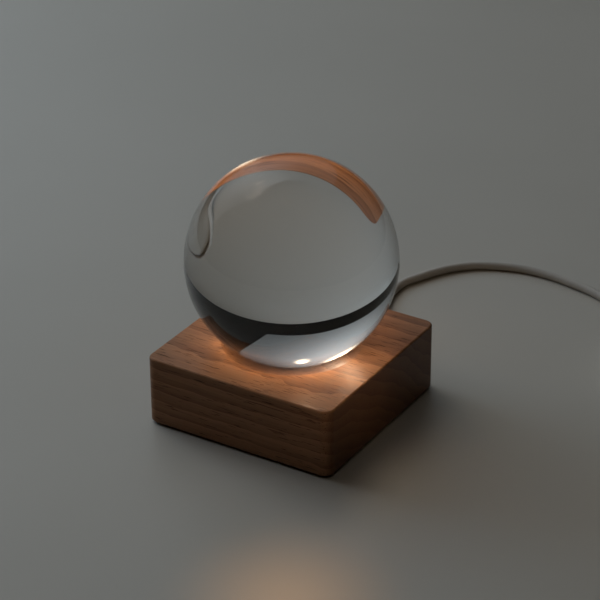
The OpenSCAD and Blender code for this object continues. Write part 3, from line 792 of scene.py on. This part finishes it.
# %% [markdown]
# ### Plain finishes
# Plastic, rubber and metal differ in colour, gloss and how coarse their surface is. Each
# could have a network of its own, but one function builds them all from the shared groups
# and a few numbers, so that they age alike.

# %% Moulded and metal finishes
finishes = {}
DUST_COLOUR = (0.55, 0.53, 0.5, 1)
SCRATCH_SCALE = 500.0
RELIEF_DEPTH = 0.1 * MM


def new_material(name):
    material = bpy.data.materials.new(f"{name} finish")
    material.use_nodes = True
    finishes[name] = material
    tree = material.node_tree
    return tree, tree.nodes["Principled BSDF"], add(tree, "TexCoord").outputs["Object"]


def dress(tree, shader, inputs, height=None, strength=0.0, depth=RELIEF_DEPTH):
    """Give the shader its inputs, and a bump from a height if there is one."""
    for key, value in inputs.items():
        feed(tree, shader.inputs[key], value)
    if height is not None:
        relief = add(tree, "Bump", {"Strength": strength, "Distance": depth, "Height": height})
        feed(tree, shader.inputs["Normal"], relief.outputs["Normal"])


def dusted(tree, colour, amount, where):
    layer = add(tree, "Group", {"Amount": amount, "Vector": where}, node_tree=dust_group).outputs["Mask"]
    return blend_colour(tree, layer, colour, DUST_COLOUR)


def moulded(name, light, dark, gloss, metal=0.0, clouds=80.0, specks=1500.0, bump=0.15, dust=0.15,
            scratch=0.0, **sockets):
    """Finish with an uneven tone, a fine surface texture, scratches and dust. Gloss is the
    roughness of its smoothest and of its roughest spots."""
    tree, shader, where = new_material(name)
    tone = add(
        tree, "Group", node_tree=tone_group,
        inputs={"Vector": where, "Cloud scale": clouds, "Speck scale": specks, "Light": (*light, 1),
                "Dark": (*dark, 1), "Smooth": gloss[0], "Rough": gloss[1]},
    ).outputs
    roughness = tone["Roughness"]
    if scratch:
        marks = add(tree, "Group", {"Scale": SCRATCH_SCALE, "Vector": where}, node_tree=scratch_group)
        roughness = plus(tree, roughness, times(tree, marks.outputs["Mask"], scratch))
    colour = dusted(tree, tone["Colour"], dust, where)
    inputs = {"Base Color": colour, "Roughness": roughness, "Metallic": metal}
    inputs |= {key.replace("_", " "): value for key, value in sockets.items()}
    dress(tree, shader, inputs, tone["Height"], bump)


moulded("white_plastic", (0.86, 0.86, 0.84), (0.8, 0.8, 0.77), (0.35, 0.5))
moulded("led_body", (0.86, 0.86, 0.83), (0.8, 0.79, 0.75), (0.3, 0.45), specks=4000.0)
moulded("resistor_black", (0.03, 0.03, 0.033), (0.015, 0.015, 0.017), (0.35, 0.5), specks=5000.0)
moulded("wire_red", (0.6, 0.03, 0.02), (0.42, 0.02, 0.015), (0.35, 0.5))
moulded("wire_black", (0.03, 0.03, 0.03), (0.018, 0.018, 0.018), (0.35, 0.5))
moulded("nylon_tie", (0.84, 0.83, 0.78), (0.76, 0.75, 0.69), (0.3, 0.45),
        Subsurface_Weight=0.2, Subsurface_Scale=0.001)
moulded("cover_plastic", (0.045, 0.045, 0.048), (0.026, 0.026, 0.028), (0.45, 0.65),
        specks=2200.0, bump=0.35, scratch=0.15)
moulded("foot_rubber", (0.035, 0.034, 0.033), (0.02, 0.02, 0.02), (0.65, 0.85), specks=2600.0, bump=0.3)
moulded("switch_plastic", (0.74, 0.72, 0.67), (0.66, 0.64, 0.59), (0.38, 0.52),
        specks=2600.0, bump=0.25, scratch=0.12)
moulded("button_plastic", (0.62, 0.6, 0.55), (0.54, 0.52, 0.47), (0.3, 0.42), specks=2600.0, scratch=0.1)
moulded("plug_plastic", (0.64, 0.62, 0.58), (0.56, 0.54, 0.5), (0.45, 0.6), specks=2200.0, bump=0.3)
moulded("grommet_rubber", (0.5, 0.48, 0.44), (0.42, 0.4, 0.37), (0.55, 0.7), specks=2200.0, bump=0.3)
moulded("lead_sheath", (0.54, 0.49, 0.43), (0.45, 0.405, 0.35), (0.42, 0.58),
        clouds=45.0, specks=2600.0, bump=0.2, dust=0.25)
moulded("tie_black", (0.035, 0.035, 0.037), (0.02, 0.02, 0.021), (0.5, 0.7), specks=3500.0, bump=0.5)

METALS = {
    "solder": ((0.78, 0.78, 0.8), (0.6, 0.6, 0.62), (0.15, 0.35), 900.0, 0.0),
    "screw_steel": ((0.66, 0.66, 0.67), (0.5, 0.5, 0.5), (0.22, 0.42), 500.0, 0.2),
    "spring_steel": ((0.7, 0.7, 0.71), (0.55, 0.55, 0.56), (0.2, 0.35), 700.0, 0.0),
    "contact_brass": ((0.83, 0.62, 0.27), (0.65, 0.45, 0.18), (0.2, 0.4), 500.0, 0.2),
    "contact_gold": ((0.95, 0.74, 0.32), (0.85, 0.6, 0.22), (0.15, 0.3), 500.0, 0.2),
    "plug_steel": ((0.78, 0.78, 0.79), (0.66, 0.66, 0.67), (0.34, 0.46), 300.0, 0.25),
}
for metal_name, (light, dark, gloss, clouds, scratch) in METALS.items():
    moulded(metal_name, light, dark, gloss, metal=1.0, clouds=clouds, scratch=scratch)
print(len(finishes), "plain finishes")

# %% [markdown]
# ### Oiled wood
# The block is cut from a plank whose grain runs along X. A tree's yearly rings are sleeves
# about its heart, so the rings here are sleeves about an axis far to one side, bent by slow
# noise. The same solid pattern then gives long figure on top and on the long sides, and
# curved bands on the end faces, as on a real block. Pores are short dark dashes along X.

# %% Wood grain group
HEART = (0, 0.055, 0.075)
RING_SCALE = 62.0
BEND_SCALE, BEND_SIZE = (14, 60, 60), 0.007
FIBRE_SCALE, BROAD_SCALE, PORE_SCALE = (22, 900, 900), (10, 70, 70), (150, 2300, 2300)
RING_SHARE, FIBRE_SHARE, BROAD_SHARE = 0.4, 0.65, 0.45
PORE_DARK, PORE_DULL = 0.8, 0.25


def build_grain():
    """Rings about an axis along X, with fibres and pores stretched along X."""
    group, given, gives = node_group(
        "plank grain",
        [("Vector", "Vector"), ("Early", "Color"), ("Late", "Color"), ("Pore", "Color")],
        [("Colour", "Color"), ("Height", "Float"), ("Roughness", "Float")],
    )

    def stretched(scale, offset=(0, 0, 0)):
        inputs = {"Vector": given["Vector"], "Scale": scale, "Location": offset}
        return add(group, "Mapping", inputs).outputs["Vector"]

    def vectors(operation, inputs):
        return add(group, "VectorMath", inputs, operation=operation).outputs[0]

    slow = add(group, "TexNoise", {"Vector": stretched(BEND_SCALE), "Scale": 1.0, "Detail": 2.0})
    shift = vectors("SUBTRACT", {0: slow.outputs["Color"], 1: (0.5, 0.5, 0.5)})
    bent = vectors("ADD", {0: given["Vector"], 1: vectors("SCALE", {0: shift, "Scale": BEND_SIZE})})
    about_heart = add(group, "Mapping", {"Vector": bent, "Location": HEART}).outputs["Vector"]
    rings = add(
        group, "TexWave", wave_type="RINGS", rings_direction="X", wave_profile="SAW",
        inputs={"Vector": about_heart, "Scale": RING_SCALE, "Distortion": 1.2, "Detail": 2.0,
                "Detail Scale": 1.5},
    ).outputs["Fac"]
    fibres = noise(group, stretched(FIBRE_SCALE), 1.0, 4.0, 0.65)
    broad = noise(group, stretched(BROAD_SCALE, (0.3, 0.1, 0)), 1.0, 2.0)
    tone = plus(group, times(group, rings, RING_SHARE), times(group, fibres, FIBRE_SHARE))
    tone = plus(group, tone, times(group, broad, BROAD_SHARE))
    colour = blend_colour(group, spread(group, tone, 0.5, 1.02), given["Late"], given["Early"])
    pores = spread(group, noise(group, stretched(PORE_SCALE), 1.0, 1.0), 0.64, 0.7)
    feed(group, gives["Colour"], blend_colour(group, times(group, pores, PORE_DARK), colour, given["Pore"]))
    feed(group, gives["Height"], maths(group, "SUBTRACT", times(group, fibres, 0.35), pores))
    sheen = plus(group, spread(group, fibres, 0.3, 0.7, 0.34, 0.46), times(group, pores, PORE_DULL))
    feed(group, gives["Roughness"], sheen)
    return group


# %% Block finish
EARLY_WOOD, LATE_WOOD = (0.48, 0.225, 0.106, 1), (0.255, 0.108, 0.049, 1)
PORE_WOOD = (0.07, 0.026, 0.012, 1)
END_WOOD, RUBBED_WOOD = (0.13, 0.055, 0.028, 1), (0.5, 0.27, 0.14, 1)
END_SHARE, RUBBED_SHARE = 0.55, 0.35
RUBBED_FROM, RUBBED_TO = 1.6 * MM, 0.2 * MM


def rubbed_edges(tree, where):
    """Mask that is 1 on the block's edges: a point is near an edge when two of its distances
    from the block's middle are close to the block's half sizes."""
    half = (block_high - block_low) / 2
    middle = (block_high + block_low) / 2
    centred = add(tree, "Mapping", {"Vector": where, "Location": tuple(-middle)}).outputs["Vector"]
    apart = add(tree, "VectorMath", {0: centred}, operation="ABSOLUTE").outputs[0]
    parts = add(tree, "SeparateXYZ", {"Vector": apart}).outputs
    near = [spread(tree, parts[k], half[k] - RUBBED_FROM, half[k] - RUBBED_TO) for k in range(3)]
    pairs = [times(tree, near[a], near[b]) for a, b in ((0, 1), (1, 2), (0, 2))]
    edge = maths(tree, "MAXIMUM", maths(tree, "MAXIMUM", pairs[0], pairs[1]), pairs[2])
    return times(tree, edge, spread(tree, noise(tree, where, 260.0, 4.0, 0.7), 0.4, 0.62))


def oiled_wood():
    """Grain, plus darker oil where the face is end grain, and pale rubbed edges."""
    tree, shader, where = new_material("oiled_wood")
    inputs = {"Vector": where, "Early": EARLY_WOOD, "Late": LATE_WOOD, "Pore": PORE_WOOD}
    grain = add(tree, "Group", inputs, node_tree=build_grain()).outputs
    facing = add(tree, "SeparateXYZ", {"Vector": add(tree, "TexCoord").outputs["Normal"]}).outputs["X"]
    end_grain = spread(tree, maths(tree, "ABSOLUTE", facing), 0.6, 0.95)
    colour = blend_colour(tree, times(tree, end_grain, END_SHARE), grain["Colour"], END_WOOD)
    colour = blend_colour(tree, times(tree, rubbed_edges(tree, where), RUBBED_SHARE), colour, RUBBED_WOOD)
    inputs = {"Base Color": dusted(tree, colour, 0.02, where), "Roughness": grain["Roughness"],
              "Specular IOR Level": 0.25}
    dress(tree, shader, inputs, grain["Height"], 0.35, 0.12 * MM)


oiled_wood()
print("oiled wood:", len(finishes["oiled_wood"].node_tree.nodes), "nodes")

# %% [markdown]
# ### Glass, window and lamps
# Clear glass keeps a plain transmission weight. What makes it look real is what it bends, so
# only a trace of handling is added: faint smears that lift the roughness here and there. The
# yellow fill of each lamp glows warm white, and the board's tracks show faintly through its
# white lacquer.

# %% Clear and glowing finishes
SMEAR_TINT = (0.985, 0.985, 0.98)
FILL_DEEP, FILL_PALE = (0.9, 0.6, 0.15, 1), (0.98, 0.76, 0.3, 1)
GLOW_DEEP, GLOW_PALE = (1.0, 0.62, 0.3, 1), (1.0, 0.74, 0.42, 1)
LACQUER, LACQUER_ON_TRACK = (0.78, 0.79, 0.76, 1), (0.84, 0.85, 0.8, 1)


def clear(name, colour, smear, ior):
    tree, shader, where = new_material(name)
    smears = spread(tree, noise(tree, where, 55.0, 6.0, 0.65, 0.6), 0.6, 0.8)
    smeared = [part * less for part, less in zip(colour, SMEAR_TINT)]
    tint = blend_colour(tree, smears, (*colour, 1), (*smeared, 1))
    dress(tree, shader, {"Base Color": tint, "Roughness": times(tree, smears, smear),
                         "Transmission Weight": 1.0, "IOR": ior})


def lamp_fill():
    tree, shader, where = new_material("led_fill")
    grains = spread(tree, noise(tree, where, 6000.0, 2.0), 0.3, 0.7)
    colour = blend_colour(tree, grains, FILL_DEEP, FILL_PALE)
    glow = blend_colour(tree, grains, GLOW_DEEP, GLOW_PALE)
    dress(tree, shader, {"Base Color": colour, "Emission Color": glow, "Emission Strength": 20.0,
                         "Roughness": 0.4})


def board_lacquer():
    """White lacquer of the board, with the copper tracks standing up a little under it."""
    tree, shader, where = new_material("board_white")
    tracks = add(
        tree, "TexWave", {"Vector": where, "Scale": 90.0, "Distortion": 3.0, "Detail": 0.0},
        wave_type="BANDS", bands_direction="DIAGONAL",
    ).outputs["Fac"]
    raised = spread(tree, tracks, 0.55, 0.6)
    colour = blend_colour(tree, raised, LACQUER, LACQUER_ON_TRACK)
    roughness = spread(tree, raised, 0.0, 1.0, 0.3, 0.4)
    dress(tree, shader, {"Base Color": colour, "Roughness": roughness}, raised, 0.4, 0.05 * MM)


clear("clear_glass", (0.97, 0.95, 0.925), 0.01, 1.52)
clear("clear_acrylic", (0.96, 0.97, 0.97), 0.12, 1.49)
lamp_fill()
board_lacquer()

# %% [markdown]
# ### Finishes on the pieces
# A piece of the CAD model brings a slot with the name of its finish, and a new piece was
# told its slot when it was made. So one loop dresses them all, and no piece is forgotten:
# a name without a finish stops the script.

# %% Put the finishes on
shapes = [thing for thing in scene.objects if thing.type == "MESH"]
for piece in shapes:
    if piece.name in nodes:
        worn = piece.material_slots[0]
        worn.material = finishes[worn.material.name]
    else:
        piece.data.materials.append(finishes[piece["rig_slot"]])
print(len(finishes), "finishes on", len(shapes), "meshes")

# %% [markdown]
# ## Table and light
# The object stands on a pale round table in a dim room. A wide soft window stands behind it
# to the left, brightest high up, and two lamps in the room are seen only through the ball.
# The ball shows all of this upside down, so the window's outline and the dark gap between it
# and the table's edge matter as much as the light they give. A picture could be wrapped
# round the scene, but panels with a formula for their brightness can be tuned one by one.

# %% Table
TABLE_R, TABLE_Z = 0.9, -0.02 * MM
FAR_FLOOR_R, FAR_FLOOR_Z = 9.0, -0.8 * MM
TABLE_EDGE = 0.5 * MM


def table_top(radius, height):
    """Flat disc: rings of growing radius about the Z axis, with a thin rim."""
    steps = radius * np.linspace(0.02, 1, 20) ** 1.5
    profile = np.vstack([np.stack([steps, np.full(20, height)], -1), [[radius, height - TABLE_EDGE]]])
    return turned(profile, 96)


def staged(name, surface):
    points, quads, fans = surface
    mesh = bpy.data.meshes.new(name)
    mesh.from_pydata(points.tolist(), [], quads.tolist() + fans.tolist())
    thing = bpy.data.objects.new(name, mesh)
    scene.collection.objects.link(thing)
    return thing


def hide_from(thing, *rays):
    for ray in rays:
        setattr(thing, f"visible_{ray}", False)


def floor_finish(name, scale, dark, pale, **sockets):
    """Floor whose tone changes slowly between two colours. If it glows, a pair of emission
    colours follows the same clouds."""
    tree, shader, where = new_material(name)
    clouds = spread(tree, noise(tree, where, scale), 0.35, 0.65)
    inputs = {key.replace("_", " "): value for key, value in sockets.items()}
    if "Emission Color" in inputs:
        inputs["Emission Color"] = blend_colour(tree, clouds, *inputs["Emission Color"])
    dress(tree, shader, {"Base Color": blend_colour(tree, clouds, dark, pale), **inputs})
    return finishes[name]


table = staged("table", table_top(TABLE_R, TABLE_Z))
beyond = staged("beyond_table", table_top(FAR_FLOOR_R, FAR_FLOOR_Z))
table.data.materials.append(floor_finish(
    "table", 5.0, (0.505, 0.462, 0.396, 1), (0.535, 0.49, 0.422, 1), Roughness=0.42, Specular_IOR_Level=0.6,
))
beyond.data.materials.append(floor_finish(
    "far floor", 3.0, (0.2, 0.19, 0.17, 1), (0.22, 0.21, 0.19, 1), Roughness=0.8, Emission_Strength=1.0,
    Emission_Color=((0.11, 0.11, 0.108, 1), (0.115, 0.115, 0.112, 1)),
))
hide_from(beyond, "diffuse", "glossy", "transmission", "shadow")
print("table", TABLE_R, "m, floor beyond it", FAR_FLOOR_R, "m")

# %% Window behind the object, and two room lamps
WINDOW_R = 3.0
WINDOW_LEFT, WINDOW_RIGHT, WINDOW_LEAN = -66, 10, 0.8
WINDOW_LOW, WINDOW_HIGH = 5, 60
BRIGHT_AT, BRIGHT_WIDTH = -28, 27
LAMP_R = 0.99
LAMPS = [(-6, 35, 2.6, 3.0, 11.0), (-38, 46, 8.5, 6.5, 22.0)]
LIT = 0.05
WINDOW_COLOUR, LAMP_COLOUR = (0.86, 0.95, 1.0), (1.0, 0.8, 0.56)


def window_panel(columns=82, rows=56):
    """Part of a sphere about the object, between two bearings and two rises in degrees, with
    a leaning right edge. Across, the window's light is a bell curve, and upwards it grows.
    Each lamp, (bearing, rise, width, height, power), is a bell curve both ways. Returns the
    points, the faces, and the window's and the lamps' light at each point."""
    share, rise = np.meshgrid(np.linspace(0, 1, columns), np.linspace(WINDOW_LOW, WINDOW_HIGH, rows))
    right = WINDOW_RIGHT + WINDOW_LEAN * (rise - WINDOW_LOW)
    bearing = WINDOW_LEFT + (right - WINDOW_LEFT) * share
    turn, up = VIEW_TURN - np.radians(bearing), np.radians(rise)
    points = WINDOW_R * np.stack([-np.sin(turn) * np.cos(up), np.cos(turn) * np.cos(up), np.sin(up)], -1)
    index = np.arange(rows * columns).reshape(rows, columns)
    quads = np.stack([index[:-1, :-1], index[:-1, 1:], index[1:, 1:], index[1:, :-1]], -1).reshape(-1, 4)
    across = 0.14 + 0.86 * np.exp(-(((bearing - BRIGHT_AT) / BRIGHT_WIDTH) ** 2))
    upwards = 0.16 + 0.9 * np.clip((rise - 3) / 28, 0, 1) ** 1.2
    lamps = sum(
        power * np.exp(-(((bearing - at) / wide) ** 2) - ((rise - high) / tall) ** 2)
        for at, high, wide, tall, power in LAMPS
    )
    return points.reshape(-1, 3), quads, (0.04 + across * upwards).ravel(), lamps.ravel()


def glowing_panel(name, points, quads, strength, colour, power):
    """Panel that shines with power times the strength of each of its points, and lets all other
    light through. The camera doesn't see it."""
    panel = staged(name, (points, quads, np.empty((0, 3), int)))
    light = panel.data.attributes.new("light", "FLOAT", "POINT")
    light.data.foreach_set("value", strength.astype(np.float32))
    material = bpy.data.materials.new(f"{name} light")
    material.use_nodes = True
    tree = material.node_tree
    tree.nodes.clear()
    value = times(tree, add(tree, "Attribute", attribute_name="light").outputs["Fac"], power)
    glow = add(tree, "Emission", {"Color": (*colour, 1), "Strength": value}).outputs[0]
    both = add(tree, "AddShader", {0: glow, 1: add(tree, "BsdfTransparent").outputs[0]})
    add(tree, "OutputMaterial", {"Surface": both.outputs[0]})
    panel.data.materials.append(material)
    panel.visible_camera = False
    return panel


panel_points, panel_quads, window_share, lamp_share = window_panel()
glowing_panel("window", panel_points, panel_quads, window_share, WINDOW_COLOUR, 0.82)
lit_quads = panel_quads[lamp_share[panel_quads].max(1) > LIT]
room_lamps = glowing_panel("room_lamps", panel_points * LAMP_R, lit_quads, lamp_share, LAMP_COLOUR, 1.0)
hide_from(room_lamps, "diffuse", "glossy")
print("window", len(panel_quads), "faces, room lamps", len(lit_quads))

# %% [markdown]
# ### Soft panels and gathered light
# Square soft lights fill the shadows. A glass ball also gathers light into warm patches, on
# the wood round its foot and on the table in front. A path tracer finds such patches slowly
# and unevenly, so two narrow spots and two rings of tiny lights stand for them. None of
# these lights shows itself to the camera, in a gloss or through the ball.

# %% Hidden lights
TOP_Z = block_high.z
FOOT_WARM = (1.0, 0.7, 0.42)
FOOT_SOFTNESS = 0.4


def hidden_light(name, kind, place, watts, colour, **settings):
    """Light that no camera, gloss or glass shows."""
    data = bpy.data.lights.new(name, kind)
    data.energy, data.color = watts, colour
    for key, value in settings.items():
        setattr(data, key, value)
    lamp = bpy.data.objects.new(name, data)
    lamp.location = place
    scene.collection.objects.link(lamp)
    hide_from(lamp, "camera", "glossy", "transmission")
    return lamp


def aimed_light(name, kind, target, bearing, rise, distance, watts, colour, **settings):
    """Hidden light at a bearing from the view direction, in degrees, turned to its target."""
    away = direction(VIEW_TURN - math.radians(bearing), math.radians(rise))
    lamp = hidden_light(name, kind, Vector(target) + distance * away, watts, colour, **settings)
    lamp.rotation_euler = (-away).to_track_quat("-Z", "Y").to_euler()


def foot_lights(radius, rise, first, step, milliwatts):
    """Tiny warm lights in a ring round the ball's foot, one for each entry of milliwatts."""
    for number, power in enumerate(milliwatts):
        around = math.radians(first + step * number)
        place = radius * math.cos(around), radius * math.sin(around), TOP_Z + rise
        hidden_light("light_round_the_foot", "POINT", place, MW * power, FOOT_WARM,
                     shadow_soft_size=FOOT_SOFTNESS * rise)


MIDDLE = (0, 0, 0)
aimed_light("overhead", "AREA", MIDDLE, -50, 58, 1.4, 2.1, (1.0, 0.98, 0.95), size=0.8)
aimed_light("cool_side", "AREA", MIDDLE, -55, 30, 0.85, 1.35, (0.5, 0.73, 1.0), size=0.4)
aimed_light("ceiling", "AREA", MIDDLE, 160, 80, 1.5, 0.9, (1.0, 0.92, 0.8), size=1.2)
narrow = {"spot_blend": 1.0, "shadow_soft_size": 0.02}
aimed_light("gathered_on_wood", "SPOT", (0.028, -0.012, TOP_Z), 165, 38, 0.6, 5.0, (1.0, 0.72, 0.4),
            spot_size=0.055, **narrow)
aimed_light("gathered_on_table", "SPOT", (0.066, -0.111, 0), 0, 60, 0.8, 11.0, (1.0, 0.56, 0.24),
            spot_size=0.08, **narrow)
foot_lights(33.5 * MM, 8.5 * MM, -50, 30, [1.3, 1.7, 1.1, 0.8, 1.7, 7.0, 2.8, 0.8, 1.2, 0.8, 0.6, 0.7])
foot_lights(27.5 * MM, 3.2 * MM, -170, 14,
            [0.25, 0.3, 0.35, 0.4, 0.4, 0.4, 0.4, 0.45, 0.5, 0.5, 0.5, 0.4, 0.3])
print(len(bpy.data.lights), "hidden lights")

# %% [markdown]
# ### The room
# The room itself is almost dark for everything but the camera, so that the panels alone
# light the object. Past the far floor the camera sees an even pale grey, not a black edge.

# %% Room
DIM_ROOM, DIM_STRENGTH = (0.95, 0.97, 1.0, 1), 0.002
SEEN_ROOM = (0.13, 0.133, 0.135, 1)
world = bpy.data.worlds.new("room")
scene.world = world
world.use_nodes = True
sky = world.node_tree
sky.nodes.clear()
dim = add(sky, "Background", {"Color": DIM_ROOM, "Strength": DIM_STRENGTH}).outputs[0]
seen = add(sky, "Background", {"Color": SEEN_ROOM, "Strength": 1.0}).outputs[0]
mixed = add(sky, "MixShader", {0: add(sky, "LightPath").outputs["Is Camera Ray"], 1: dim, 2: seen})
add(sky, "OutputWorld", {"Surface": mixed.outputs[0]})
scene.view_settings.view_transform = "Standard"
